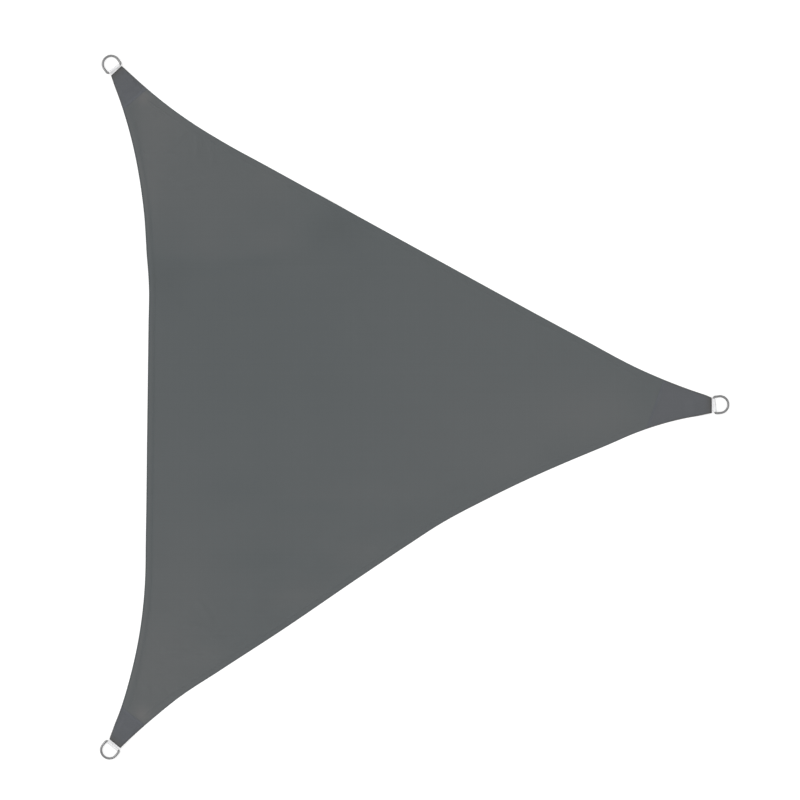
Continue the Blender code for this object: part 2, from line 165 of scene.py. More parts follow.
# Faint bands of painted shade along a bent line, with the tone as their height.
PAINTED_SHADE_BANDS = (
    (((-0.47, -0.53), (-0.33, -0.475)), 0.045, -0.02),
    (((-0.44, -0.28), (-0.18, -0.28)), 0.03, -0.016),
    (((-0.78, 0.4), (-0.56, 0.39), (-0.36, 0.42)), 0.035, -0.02),
    (((-0.819, 0.835), (-0.751, 0.894)), 0.014, -0.06),
    (((-0.824, -0.841), (-0.757, -0.893)), 0.014, -0.06),
)
# Painted shade on the sail's rolled outer edge, where the cloth turns down.
SAIL_EDGE_PAINTED_SHADE = -0.22
# Painted shade along the left hem: darker at its edge and along its fold, a little lighter
# between, given as distance from the edge and tone.
LEFT_HEM_PAINTED_SHADE = ((0.0009, -0.10), (0.0033, -0.10), (0.0048, 0.02), (0.0085, 0.03),
                  (0.0130, 0.0), (0.0165, -0.026), (0.0190, -0.026), (0.0240, 0.0))


# Sizes and colours that a user would change

def length(name, description, default):
    """Returns a property that holds a length."""
    return FloatProperty(name=name, description=description, default=default, unit="LENGTH",
                         precision=5)


def level(name, description, default):
    """Returns a property that holds a brightness."""
    return FloatProperty(name=name, description=description, default=default, min=0.0)


def tint(name, description, default):
    """Returns a property that holds a colour."""
    return FloatVectorProperty(name=name, description=description, default=default,
                               subtype="COLOR", min=0.0, max=1.0)


class ClothSettings(PropertyGroup):
    """Sizes and colours of the sail's cloth and its hems."""
    thickness: length("Cloth thickness", "Height of one ply of cloth as it lies", 0.0012)
    hem_thickness: length("Hem thickness", "Height of the turned-in hem", 0.0018)
    hem_width: length("Hem width", "Width of the hem along the middle of an edge", 0.0175)
    hem_width_at_corner: length(
        "Hem width at corner", "Width of the hem where it meets a patch", 0.028)
    hem_narrows_over: length(
        "Hem narrows over", "Length over which the hem narrows from a corner", 0.33)
    patch_thickness: length("Patch thickness", "Height of a corner patch's cloth", 0.0012)
    ply_gap: length("Ply gap", "Gap between plies that lie on each other", 0.0003)
    mesh_pitch: length("Mesh pitch", "Distance between the points of the panel's mesh", 0.0075)
    patch_pitch: length("Patch mesh pitch", "Distance between a patch's mesh points", 0.0022)
    thread_pitch: length("Thread pitch", "Distance between the threads of the weave", 0.0006)
    colour: tint("Cloth colour", "Colour of the sailcloth", (0.1050, 0.1140, 0.1170))
    patch_colour: tint("Patch colour", "Colour of the cloth in two plies",
                       (0.1080, 0.1135, 0.1235))


class SewingSettings(PropertyGroup):
    """Sizes and colour of the seams."""
    stitch_length: length("Stitch length", "Length of thread that shows in one stitch", 0.0034)
    stitch_gap: length("Stitch gap", "Gap between one stitch and the next", 0.0008)
    thread_width: length("Thread width", "Width of the sewing thread", 0.0007)
    from_fold: length("Seam from fold", "Distance of the hem's seam from its fold", 0.003)
    seam_depth: length("Seam depth", "How far a seam draws the cloth in", 0.00025)
    colour: tint("Thread colour", "Colour of the sewing thread", (0.108, 0.116, 0.120))


class WebbingSettings(PropertyGroup):
    """Sizes and colour of the webbing loops."""
    width: length("Webbing width", "Width of the webbing", 0.0374)
    thickness: length("Webbing thickness", "Thickness of the webbing", 0.0014)
    lower_tail: length("Lower tail", "Length of the lower tail behind the sail's cut", 0.060)
    upper_tail: length("Upper tail", "Length of the upper tail behind the sail's cut", 0.048)
    ribs: IntProperty(name="Ribs", description="Number of lengthwise ribs across the webbing",
                      default=20, min=4, max=60)
    rib_height: length("Rib height", "How far a rib stands up", 0.00012)
    thread_pitch: length("Thread pitch", "Distance between the webbing's threads", 0.0009)
    colour: tint("Webbing colour", "Colour of the webbing", (0.86, 0.86, 0.87))


class RingSettings(PropertyGroup):
    """Sizes and colour of the D-rings."""
    wire_radius: length("Wire radius", "Radius of the ring's round wire", 0.003)
    half_width: length("Half width", "Half the ring's width, to the wire's middle", 0.0234)
    depth: length("Depth", "Distance from the bar to the far end of the bow", 0.0396)
    corner_radius: length("Corner radius", "Radius of the bend at the bar's ends", 0.0052)
    wire_sides: IntProperty(name="Wire sides", description="Number of faces round the wire",
                            default=20, min=8, max=64)
    colour: tint("Steel colour", "Colour of the polished steel", (0.275, 0.275, 0.277))


class StageSettings(PropertyGroup):
    """The floor, the light and the camera's framing."""
    floor_size: length("Floor size", "Length of the floor's side", 120.0)
    floor_colour: tint("Floor colour", "Colour of the floor", (0.60, 0.60, 0.60))
    floor_glow: level("Floor glow", "Light from the floor, which softens shadows", 0.52)
    top_light: level("Top light", "Brightness of the sky overhead", 1.36)
    side_light: level("Side light", "Brightness of the sky at the sides", 0.22)
    key_light: level("Key light", "Strength of the soft light from the left", 0.75)
    view_width: length("View width", "Width of the floor that the camera sees", 2.248)
    view_x: length("View centre X", "Point below the camera", -0.0413)
    view_y: length("View centre Y", "Point below the camera", 0.0201)
    lens: FloatProperty(name="Focal length", description="Camera's focal length in millimetres",
                        default=85.0, min=10.0)


class ShadeSailSettings(PropertyGroup):
    """All settings of the shade sail."""
    cloth: PointerProperty(type=ClothSettings)
    sewing: PointerProperty(type=SewingSettings)
    webbing: PointerProperty(type=WebbingSettings)
    ring: PointerProperty(type=RingSettings)
    stage: PointerProperty(type=StageSettings)


# Plan geometry, on arrays of points

def direction(degrees):
    """Returns the unit plan vector that points this way, anticlockwise from +X."""
    angle = math.radians(degrees)
    return np.array((math.cos(angle), math.sin(angle)))


def left_of(vectors):
    """Returns plan vectors turned a quarter turn anticlockwise."""
    return np.stack((-vectors[..., 1], vectors[..., 0]), axis=-1)


def unit(vectors):
    """Returns vectors of length one."""
    return vectors / np.linalg.norm(vectors, axis=-1, keepdims=True)


def ease(values):
    """Returns a soft step from 0 to 1."""
    values = np.clip(values, 0.0, 1.0)
    return values * values * (3 - 2 * values)


def closed(loop):
    """Returns a loop with its first point again at its end."""
    return np.concatenate((loop, loop[:1]))


def spread(low, high, step):
    """Returns evenly spaced places from low to high, about one step apart."""
    return np.linspace(low, high, max(2, round((high - low) / step) + 1))


def between(start, end, step):
    """Returns points on the straight line between two points, without its ends."""
    share = spread(0.0, float(np.linalg.norm(end - start)), step)
    return start + (end - start) * (share[1:-1, None] / share[-1])


def smooth_through(rows, places):
    """Returns the heights at these places of a smooth curve through rows of (place, height)."""
    knots, heights = np.array(rows, float).T
    spans = np.diff(knots)
    slopes = np.diff(heights) / spans
    inner = (slopes[:-1] * spans[1:] + slopes[1:] * spans[:-1]) / (spans[:-1] + spans[1:])
    tangents = np.concatenate((slopes[:1], inner, slopes[-1:]))
    index = np.clip(np.searchsorted(knots, places) - 1, 0, len(spans) - 1)
    span = spans[index]
    t = (places - knots[index]) / span
    return ((2 * t**3 - 3 * t**2 + 1) * heights[index]
            + (t**3 - 2 * t**2 + t) * span * tangents[index]
            + (3 * t**2 - 2 * t**3) * heights[index + 1]
            + (t**3 - t**2) * span * tangents[index + 1])


def cut_end(corner, side):
    """Returns the plan point where a corner's cut ends, on its left for 1 or right for -1."""
    return corner.at + left_of(direction(corner.faces)) * (side * corner.cut_width / 2)


class Edge:
    """One edge of the sail, from the corner it leaves to the corner where it arrives."""

    def __init__(self, first, last, stations):
        self.first, self.last = first, last
        self.start = cut_end(first, 1)
        end = cut_end(last, -1)
        self.length = float(np.linalg.norm(end - self.start))
        self.run = (end - self.start) / self.length
        self.rows = [(0.0, 0.0), *stations, (self.length, 0.0)]

    def points(self, places, inward=0.0):
        """Returns the plan points at these places, this far inside the cloth's edge."""
        inset = smooth_through(self.rows, places)[:, None]
        ahead = smooth_through(self.rows, places + TANGENT_STEP)[:, None]
        tangent = unit(self.run * TANGENT_STEP + left_of(self.run) * (ahead - inset))
        on_edge = self.start + self.run * places[:, None] + left_of(self.run) * inset
        return on_edge + left_of(tangent) * np.reshape(inward, (-1, 1))

    def hem_widths(self, cloth, places):
        """Returns how wide the hem is at these places: it widens towards the corners."""
        from_corner = np.minimum(places, self.length - places)
        widened = cloth.hem_width_at_corner - cloth.hem_width
        return cloth.hem_width + widened * (1 - ease(from_corner / cloth.hem_narrows_over))


EDGES = {
    "left": Edge(UPPER, LOWER, LEFT_EDGE),
    "bottom": Edge(LOWER, RIGHT, BOTTOM_EDGE),
    "top": Edge(RIGHT, UPPER, TOP_EDGE),
}
# The hems overlap as far as this past a patch's inner end, and from there on the plies that
# run out turn into a sewn fold over HEM_SOFTENS_OVER.
HEMS_OVERLAP_PAST_PATCH = 0.006
HEM_SOFTENS_OVER = 0.025


def distance_to_path(points, path):
    """Returns the distances of plan points from a bent line, how far along it the nearest
    points are, and its whole length."""
    best = np.full(len(points), np.inf)
    place = np.zeros(len(points))
    passed = 0.0
    for start, end in zip(np.array(path), np.array(path[1:])):
        span = float(np.linalg.norm(end - start))
        part = np.clip((points - start) @ (end - start) / span**2, 0.0, 1.0)
        gap = np.linalg.norm(points - start - part[:, None] * (end - start), axis=1)
        nearer = gap < best
        best[nearer] = gap[nearer]
        place[nearer] = passed + part[nearer] * span
        passed += span
    return best, place, passed


def ridge_height(points, ridge, ends_over):
    """Returns the height of one ridge at plan points."""
    path, half_width, height = ridge
    gap, place, whole = distance_to_path(points, path)
    profile = np.cos(math.pi / 2 * np.minimum(gap / half_width, 1.0)) ** 2
    return height * profile * ease((np.minimum(place, whole - place) + gap) / ends_over)


def lie(points):
    """Returns the heights of the cloth's underside over the floor at plan points."""
    folds, creases = (
        np.max([ridge_height(points, ridge, ends_over) for ridge in ridges], axis=0)
        for ridges, ends_over in ((FOLDS, FOLD_ENDS_OVER), (CREASES, CREASE_ENDS_OVER)))
    for corner in CORNERS:
        away = np.linalg.norm(points - corner.at, axis=1)
        folds = folds * ease((away - FLAT_ROUND_CORNER) / FLAT_GIVES_WAY_OVER)
    return folds + creases


# Large sets of points are tested in batches, which keeps the arrays small.
POINTS_AT_A_TIME = 2000


def are_inside(points, loop):
    """Tells which plan points are inside a closed loop."""
    start, end = loop, np.roll(loop, -1, axis=0)
    slope = (end[:, 0] - start[:, 0]) / np.where(start[:, 1] == end[:, 1], 1.0,
                                                end[:, 1] - start[:, 1])
    inside = []
    for batch in np.array_split(points, max(1, len(points) // POINTS_AT_A_TIME)):
        x, y = batch[:, :1], batch[:, 1:]
        spans = (start[:, 1] > y) != (end[:, 1] > y)
        crossings = start[:, 0] + (y - start[:, 1]) * slope
        inside.append((spans & (x < crossings)).sum(axis=1) % 2 == 1)
    return np.concatenate(inside)


# At a sharp corner a point moves at most the inset divided by this.
SHARPEST_CORNER_REACH = 0.5


def inset_loop(loop, inward):
    """Returns an anticlockwise loop with each point moved inwards."""
    arriving = left_of(unit(loop - np.roll(loop, 1, axis=0)))
    leaving = left_of(unit(np.roll(loop, -1, axis=0) - loop))
    middle = unit(arriving + leaving)
    reach = (middle * arriving).sum(axis=1, keepdims=True)
    return loop + middle * inward / np.maximum(SHARPEST_CORNER_REACH, reach)


# A trimmed loop keeps the points that reach this share of the inset, and are this far apart.
KEPT_SHARE_OF_INSET = 0.98
LEAST_GAP = 0.0008


def trimmed_inset(loop, inward):
    """Returns a loop moved inwards, without the points that come too near the loop or each
    other."""
    moved = inset_loop(loop, inward)
    gaps = distance_to_path(moved, closed(loop))[0]
    moved = moved[gaps > inward * KEPT_SHARE_OF_INSET]
    return moved[np.linalg.norm(moved - np.roll(moved, 1, axis=0), axis=1) > LEAST_GAP]


# Points of a lattice keep this share of the pitch from the loop's own points.
LATTICE_CLEARS_LOOP = 0.62


def lattice(loop, pitch):
    """Returns the points of a triangular lattice inside a loop, clear of its points."""
    low, high = loop.min(axis=0), loop.max(axis=0)
    row_pitch = pitch * math.sqrt(3) / 2
    columns, rows = np.meshgrid(np.arange(int((high[0] - low[0]) / pitch) + 1),
                                np.arange(int((high[1] - low[1]) / row_pitch) + 1))
    x = low[0] + (columns + 0.5 * (rows % 2)) * pitch
    points = np.stack((x, low[1] + rows * row_pitch), axis=-1).reshape(-1, 2)
    points = points[are_inside(points, loop)]
    tree = KDTree(len(loop))
    for index, point in enumerate(loop):
        tree.insert((*point, 0.0), index)
    tree.balance()
    gaps = np.array([tree.find((*point, 0.0))[2] for point in points])
    return points[gaps > pitch * LATTICE_CLEARS_LOOP]


def sail_outline(step):
    """Returns the panel's outline as one anticlockwise loop."""
    edges = list(EDGES.values())
    loop = []
    for edge, following in zip(edges, edges[1:] + edges[:1]):
        side = edge.points(spread(0, edge.length, step))
        loop += [side, between(side[-1], following.start, step)]
    return np.concatenate(loop)


def hem_line(cloth, step):
    """Returns the loop along which the hems are turned in, short of the corners where they
    overlap, the same loop with the hems unfolded, and how softly the hem ends at each point:
    0 is a sewn fold, and 1 is the plies that run out under a corner patch."""
    sides = []
    for edge in EDGES.values():
        low = edge.first.patch_out + HEMS_OVERLAP_PAST_PATCH
        high = edge.length - edge.last.patch_in - HEMS_OVERLAP_PAST_PATCH
        places = spread(low, high, step)
        widths = edge.hem_widths(cloth, places)
        softness = 1 - ease(np.minimum(places - low, high - places) / HEM_SOFTENS_OVER)
        sides.append(np.column_stack((edge.points(places, widths),
                                      edge.points(places, -widths), softness)))
    loop = []
    for side, after in zip(sides, sides[1:] + sides[:1]):
        chord = between(side[-1, :2], after[0, :2], step)
        loop += [side, np.column_stack((chord, chord, np.ones(len(chord))))]
    loop = np.concatenate(loop)
    return loop[:, :2], loop[:, 2:4], loop[:, 4]


# Sheets of cloth

# One closed line round a sheet: its plan points, its heights over the sheet's lie on the upper
# and the lower side, the plan points that the weave is laid out on, and what it adds to the
# cloth's brightness.
Row = namedtuple("Row", "loop top bottom weave tone", defaults=(None, 0.0))
ROLLED_EDGE_ROWS = 4


def rolled_edge(outline, thickness, tone):
    """Returns the rows that round a sheet's edge, from its outermost line inwards."""
    radius = thickness / 2
    rows = []
    for angle in np.linspace(0, math.pi / 2, ROLLED_EDGE_ROWS):
        inward = radius * (1 - math.cos(angle))
        rise = radius * math.sin(angle)
        rows.append(Row(inset_loop(outline, inward), radius + rise, radius - rise,
                        inset_loop(outline, -inward), tone))
    return rows


# Points nearer than WELD are one, and a rim triangle with less doubled area than SLIVER, in
# square metres, only joins points of one straight stretch of the rim.
WELD = 1e-7
SLIVER = 1e-8


def triangles_of(loops, filling):
    """Returns the plan points and triangles that fill the first loop and have all loops' lines
    as edges. Each point comes with the number of the given point that it is or is nearest."""
    ties, first = [], 0
    for loop in loops:
        ties += [(first + k, first + (k + 1) % len(loop)) for k in range(len(loop))]
        first += len(loop)
    given = np.concatenate([*loops, filling])
    made, _, faces, sources, *_ = delaunay_2d_cdt(given.tolist(), ties, [], 0, WELD)
    points, triangles = np.array(made), np.array(faces)
    source = np.array([found[0] if found else np.linalg.norm(given - point, axis=1).argmin()
                       for found, point in zip(sources, points)])
    corners = points[triangles]
    along, across = corners[:, 1] - corners[:, 0], corners[:, 2] - corners[:, 0]
    doubled_area = along[:, 0] * across[:, 1] - along[:, 1] * across[:, 0]
    on_rim = (source[triangles] < len(loops[0])).all(axis=1)
    outside = on_rim & (np.abs(doubled_area) < SLIVER)
    outside[on_rim] |= ~are_inside(corners[on_rim].mean(axis=1), loops[0])
    clockwise = doubled_area < 0
    triangles[clockwise] = triangles[clockwise][:, ::-1]
    return points, triangles[~outside], source


def smooth_mesh(name, points, faces, uvs):
    """Returns a smooth-shaded mesh with a UV map in metres."""
    mesh = bpy.data.meshes.new(name)
    mesh.from_pydata(points.tolist(), [], faces)
    layer = mesh.uv_layers.new(name="UVMap")
    layer.data.foreach_set("uv", uvs.astype(np.float32).ravel())
    mesh.shade_smooth()
    mesh.update()
    return mesh


def sheet_mesh(name, rows, thickness, pitch, lift, tone):
    """Returns a closed sheet of cloth. Its two sides meet in the first row, and inside the last
    row its points lie on a lattice. The function lift raises it, and the function tone adds to
    the tone that the rows give."""
    rows = [*rows, Row(lattice(rows[-1].loop, pitch), thickness, 0.0)]
    loops = [row.loop for row in rows]
    points, triangles, source = triangles_of(loops[:-1], loops[-1])

    def by_point(values):
        return np.concatenate([np.broadcast_to(value, len(loop))
                               for value, loop in zip(values, loops)])[source]

    upper, lower = (np.column_stack((points, by_point(heights) + lift(points)))
                    for heights in ([row.top for row in rows], [row.bottom for row in rows]))
    tones = by_point([row.tone for row in rows]) + tone(points)
    on_rim = source < len(loops[0])
    upper[on_rim, 2] = (upper[on_rim, 2] + lower[on_rim, 2]) / 2
    lower_index = np.where(on_rim, np.arange(len(points)),
                           len(points) - 1 + np.cumsum(~on_rim))
    unfold = np.concatenate([row.loop * 0 if row.weave is None else row.weave - row.loop
                             for row in rows])[source]
    in_hem = unfold.any(axis=1)[triangles].all(axis=1)[:, None, None]
    upper_uvs = points[triangles] + np.where(in_hem, unfold[triangles], 0.0)
    faces = np.concatenate((triangles, lower_index[triangles][:, ::-1]))
    mesh = smooth_mesh(name, np.concatenate((upper, lower[~on_rim])), faces.tolist(),
                       np.concatenate((upper_uvs, points[triangles][:, ::-1])))
    attribute = mesh.attributes.new("tone", "FLOAT", "POINT")
    attribute.data.foreach_set(
        "value", np.concatenate((tones, tones[~on_rim])).astype(np.float32))
    return mesh


def new_object(name, data):
    """Puts a new object with this data in the scene, and returns it."""
    item = bpy.data.objects.new(name, data)
    bpy.context.scene.collection.objects.link(item)
    return item


def add_piece(name, mesh, material=None, node=None):
    """Puts a finished piece in the scene, on the sail's body and in its material slot."""
    piece = new_object(name, mesh)
    if material:
        mesh.materials.append(material)
    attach(piece, BODY)
    if node:
        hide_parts(node)
    return piece


# Materials

class NodeBuilder:
    """Adds nodes to a tree, and sets or links their inputs."""

    def __init__(self, tree):
        self.tree = tree
        tree.nodes.clear()

    def add(self, kind, inputs=None, **settings):
        """Adds a node with these settings, and returns it. Each input gets a value, or is
        linked to a socket or to the first output of a node."""
        node = self.tree.nodes.new(kind)
        for name, value in settings.items():
            setattr(node, name, value)
        for key, value in (inputs or {}).items():
            if isinstance(value, bpy.types.Node):
                value = value.outputs[0]
            if isinstance(value, bpy.types.NodeSocket):
                self.tree.links.new(value, node.inputs[key])
            else:
                node.inputs[key].default_value = value
        return node

    def math(self, operation, *values):
        """Adds a Math node, and returns it."""
        return self.add("ShaderNodeMath", dict(enumerate(values)), operation=operation)

    def show(self, inputs):
        """Adds a Principled shader with these inputs as what a material shows."""
        shader = self.add("ShaderNodeBsdfPrincipled", inputs)
        self.add("ShaderNodeOutputMaterial", {"Surface": shader})

    def finish_shape(self, shape, material):
        """Ends a Geometry Nodes tree with smooth, real geometry in its material."""
        real = self.add("GeometryNodeRealizeInstances", {0: shape})
        smooth = self.add("GeometryNodeSetShadeSmooth", {0: real})
        done = self.add("GeometryNodeSetMaterial", {"Geometry": smooth, "Material": material})
        self.add("NodeGroupOutput", {0: done})


def new_group(name, kind, inputs, outputs):
    """Returns a node group with named sockets, its builder and the sockets of its inputs."""
    tree = bpy.data.node_groups.new(name, kind)
    for label, socket, *default in inputs:
        made = tree.interface.new_socket(label, in_out="INPUT", socket_type="NodeSocket" + socket)
        if default:
            made.default_value = default[0]
    for label, socket in outputs:
        tree.interface.new_socket(label, in_out="OUTPUT", socket_type="NodeSocket" + socket)
    build = NodeBuilder(tree)
    return tree, build, build.add("NodeGroupInput").outputs


def new_material(name):
    """Returns a material and the builder of its nodes."""
    made = bpy.data.materials.new(name)
    made.use_nodes = True
    return made, NodeBuilder(made.node_tree)


# Where two threads cross, the one on top keeps this share of its height at the crossing's
# edges, and it rises by the other share to the middle. Weft threads are numbered from here.
CROWN_BASE, CROWN_RISE = 0.55, 0.45
FIRST_WEFT_NUMBER = 4000.0


def weave_group():
    """Returns the shader node group of a plain weave, in metres. Its height is that of the
    thread on top, and its tone varies a little from thread to thread and over the cloth."""
    name = "plain weave"
    if name in bpy.data.node_groups:
        return bpy.data.node_groups[name]
    tree, build, given = new_group(name, "ShaderNodeTree", [
        ("Vector", "Vector"),
        ("Thread Pitch", "Float", 0.0006),
        ("Thread Variation", "Float", 0.06),
        ("Cloud Variation", "Float", 0.04),
        ("Cloud Size", "Float", 0.25),
    ], [("Height", "Float"), ("Tone", "Float")])
    threads = build.add("ShaderNodeVectorMath", {
        0: given["Vector"], 3: build.math("DIVIDE", 1.0, given["Thread Pitch"]),
    }, operation="SCALE")
    plan = build.add("ShaderNodeSeparateXYZ", {0: threads}).outputs[:2]
    cells = [build.math("FLOOR", place) for place in plan]
    crowns = [build.math("SINE", build.math("MULTIPLY", build.math("FRACT", place), math.pi))
              for place in plan]
    runs = [build.math("MULTIPLY", crown,
                       build.math("MULTIPLY_ADD", crossing, CROWN_RISE, CROWN_BASE))
            for crown, crossing in (crowns, crowns[::-1])]
    parity = build.math("FLOORED_MODULO", build.math("ADD", *cells), 2.0)
    height = build.add("ShaderNodeMix", {0: parity, 2: runs[0], 3: runs[1]})
    weft = build.math("ADD", cells[1], FIRST_WEFT_NUMBER)
    thread = build.add("ShaderNodeMix", {0: parity, 2: cells[0], 3: weft})
    chance = build.add("ShaderNodeTexWhiteNoise", {"W": thread}, noise_dimensions="1D")
    clouds = build.add("ShaderNodeTexNoise", {
        "Vector": given["Vector"], "Scale": build.math("DIVIDE", 1.0, given["Cloud Size"]),
        "Detail": 3.0,
    }, noise_dimensions="2D")
    parts = [build.math("MULTIPLY", build.math("SUBTRACT", noise, 0.5), given[amount])
             for noise, amount in ((chance, "Thread Variation"), (clouds, "Cloud Variation"))]
    tone = build.math("ADD", build.math("ADD", *parts), 1.0)
    build.add("NodeGroupOutput", {"Height": height, "Tone": tone})
    return tree


# The weave's relief is this share of the threads' pitch. However much lighter or darker a
# place is, its colour gets no stronger than this.
WEAVE_RELIEF = 0.25
STRONGEST_COLOUR = 1.15


def woven_material(name, colour, thread_pitch, desaturation=0.0, clouds=0.03, bump=0.5,
                   roughness=0.82, sheen=0.10, specular=0.2):
    """Returns a material of woven cloth that follows the piece's UV map, in metres, and its tone
    attribute, which carries painted light and shade. Where a desaturation is given, the cloth
    loses colour as its tone gets lighter."""
    made, build = new_material(name)
    weave = build.add("ShaderNodeGroup", {
        "Vector": build.add("ShaderNodeUVMap", uv_map="UVMap"), "Thread Pitch": thread_pitch,
        "Cloud Variation": clouds,
    }, node_tree=weave_group()).outputs
    tone = build.add("ShaderNodeAttribute", attribute_name="tone").outputs["Fac"]
    # The painted light and shade in the tone also set how strong the colour is.
    saturation_by_tone = build.math("MULTIPLY_ADD", tone, -desaturation, 1.0)
    toned = build.add("ShaderNodeHueSaturation", {
        "Color": (*colour, 1.0), "Value": build.math("ADD", weave["Tone"], tone),
        "Saturation": build.math("MINIMUM", saturation_by_tone, STRONGEST_COLOUR),
    })
    raised = build.add("ShaderNodeBump", {
        "Strength": bump, "Distance": thread_pitch * WEAVE_RELIEF, "Height": weave["Height"],
    })
    build.show({
        "Base Color": toned, "Roughness": roughness, "Specular IOR Level": specular,
        "Sheen Weight": sheen, "Sheen Roughness": 0.5, "Normal": raised,
    })
    return made


def object_noise(build, scale, detail):
    """Adds fine noise on Object coordinates, and returns its node."""
    place = build.add("ShaderNodeTexCoord").outputs["Object"]
    return build.add("ShaderNodeTexNoise", {"Vector": place, "Scale": scale, "Detail": detail})


def steel_material(ring):
    """Returns the polished steel of the rings, with faint marks of drawing and wear."""
    made, build = new_material("polished steel wire")
    marks = object_noise(build, scale=900.0, detail=4.0)
    build.show({
        "Base Color": (*ring.colour, 1.0), "Metallic": 1.0,
        "Specular Tint": (0.2, 0.2, 0.2, 1.0),
        "Roughness": build.add("ShaderNodeMapRange", {
            "Value": marks, "To Min": 0.26, "To Max": 0.40,
        }),
        "Normal": build.add("ShaderNodeBump", {
            "Strength": 0.15, "Distance": 0.00005, "Height": marks,
        }),
    })
    return made


def thread_material(sewing):
    """Returns the twisted sewing thread's material."""
    made, build = new_material("sewing thread")
    fibres = object_noise(build, scale=2500.0, detail=2.0)
    tone = build.add("ShaderNodeMapRange", {"Value": fibres, "To Min": 0.8, "To Max": 1.2})
    toned = build.add("ShaderNodeHueSaturation", {"Color": (*sewing.colour, 1.0), "Value": tone})
    build.show({"Base Color": toned, "Roughness": 0.6, "Specular IOR Level": 0.3})
    return made


# Geometry Nodes

def baked(name, path, tree, values, is_loop=False):
    """Returns the mesh that a Geometry Nodes tree makes along a line of points."""
    count = len(path)
    edges = [(k, (k + 1) % count) for k in range(count if is_loop else count - 1)]
    mesh = bpy.data.meshes.new(name)
    mesh.from_pydata(path.tolist(), edges, [])
    line = new_object(name, mesh)
    modifier = line.modifiers.new(tree.name, "NODES")
    modifier.node_group = tree
    sockets = {item.name: item.identifier for item in tree.interface.items_tree
               if item.in_out == "INPUT"}
    for label, value in values.items():
        modifier[sockets[label]] = value
    depsgraph = bpy.context.evaluated_depsgraph_get()
    made = bpy.data.meshes.new_from_object(line.evaluated_get(depsgraph))
    bpy.data.objects.remove(line)
    bpy.data.meshes.remove(mesh)
    made.name = name
    return made


def stitch_tree():
    """Returns the Geometry Nodes tree that sews stitches along a line of points."""
    tree, build, given = new_group("stitches along a seam", "GeometryNodeTree", [
        ("Seam", "Geometry"),
        ("Stitch Length", "Float", 0.0034),
        ("Stitch Gap", "Float", 0.0008),
        ("Thread Width", "Float", 0.0007),
        ("Seed", "Int", 1),
        ("Thread", "Material"),
    ], [("Stitches", "Geometry")])
    curve = build.add("GeometryNodeMeshToCurve", {"Mesh": given["Seam"]})
    places = build.add("GeometryNodeResampleCurve", {
        "Curve": curve,
        "Length": build.math("ADD", given["Stitch Length"], given["Stitch Gap"]),
    }, mode="LENGTH")
    bead = build.add("GeometryNodeMeshUVSphere", {"Segments": 6, "Rings": 5, "Radius": 0.5})
    laid = build.add("GeometryNodeTransform", {
        "Geometry": bead, "Rotation": (0.0, math.pi / 2, 0.0),
    })
    stitch = build.add("GeometryNodeTransform", {
        "Geometry": laid,
        "Scale": build.add("ShaderNodeCombineXYZ", {
            0: given["Stitch Length"], 1: given["Thread Width"], 2: given["Thread Width"],
        }),
    })
    lean = build.add("FunctionNodeRandomValue", {
        "Min": (-0.08, -0.02, 0.0), "Max": (0.08, 0.02, 0.0), "Seed": given["Seed"],
    }, data_type="FLOAT_VECTOR")
    heading = build.add("ShaderNodeVectorMath", {
        0: build.add("GeometryNodeInputTangent"), 1: lean,
    }, operation="ADD")
    sewn = build.add("GeometryNodeInstanceOnPoints", {
        "Points": places, "Instance": stitch,
        "Rotation": build.add("FunctionNodeAlignRotationToVector", {"Vector": heading},
                              axis="X", pivot_axis="Z"),
    })
    build.finish_shape(sewn, given["Thread"])
    return tree


def wire_tree():
    """Returns the Geometry Nodes tree that bends round wire along a line of points."""
    tree, build, given = new_group("bent round wire", "GeometryNodeTree", [
        ("Centre Line", "Geometry"),
        ("Wire Radius", "Float", 0.003),
        ("Wire Sides", "Int", 20),
        ("Steel", "Material"),
    ], [("Wire", "Geometry")])
    swept = build.add("GeometryNodeCurveToMesh", {
        "Curve": build.add("GeometryNodeMeshToCurve", {"Mesh": given["Centre Line"]}),
        "Profile Curve": build.add("GeometryNodeCurvePrimitiveCircle", {
            "Resolution": given["Wire Sides"], "Radius": given["Wire Radius"],
        }),
    })
    build.finish_shape(swept, given["Steel"])
    return tree


def joined(name, meshes, material):
    """Returns one mesh that holds all these meshes, which are removed."""
    points, faces, first = [], [], 0
    for mesh in meshes:
        points += [tuple(vertex.co) for vertex in mesh.vertices]
        faces += [[first + k for k in face.vertices] for face in mesh.polygons]
        first += len(mesh.vertices)
        bpy.data.meshes.remove(mesh)
    whole = bpy.data.meshes.new(name)
    whole.from_pydata(points, [], faces)
    whole.materials.append(material)
    whole.shade_smooth()
    return whole


# The sail's pieces

# The hem's cross-section at its inner fold: distance from the fold into the sail, and height
# above the cloth, where 1 is the hem's and 0 the single ply's, and how far the seam has drawn
# it in, where 1 is the seam's depth.
HEM_STEPS = (
    (-0.0062, 1, 0), (-0.0042, 1, 0.35), (-0.003, 1, 1), (-0.0018, 1, 0.35), (-0.0005, 0.95, 0),
    (0.0002, 0.5, 0), (0.0025, 0.3, 0), (0.0065, 0.08, 0), (0.0105, 0, 0),
)
# Distances from the edge at which the hem is flat, where LEFT_HEM_PAINTED_SHADE change too.
HEM_LIES_FLAT_AT = (0.0033, 0.0048, 0.0085)
LEFT_EDGE_STEP = 0.01


def panel_painted_light(points):
    """Returns the painted light and shade that the spots, the bands and the left hem add to the
    cloth's brightness.
    """
    tones = np.zeros(len(points))
    for x, y, reach_x, reach_y, tone in PAINTED_LIGHT_SPOTS:
        away = ((points[:, 0] - x) / reach_x) ** 2 + ((points[:, 1] - y) / reach_y) ** 2
        tones += tone * np.exp(-away)
    for band in PAINTED_SHADE_BANDS:
        tones += ridge_height(points, band, FOLD_ENDS_OVER)
    left = EDGES["left"]
    edge = left.points(spread(0.0, left.length, LEFT_EDGE_STEP))
    return tones + np.interp(distance_to_path(points, edge)[0], *zip(*LEFT_HEM_PAINTED_SHADE))


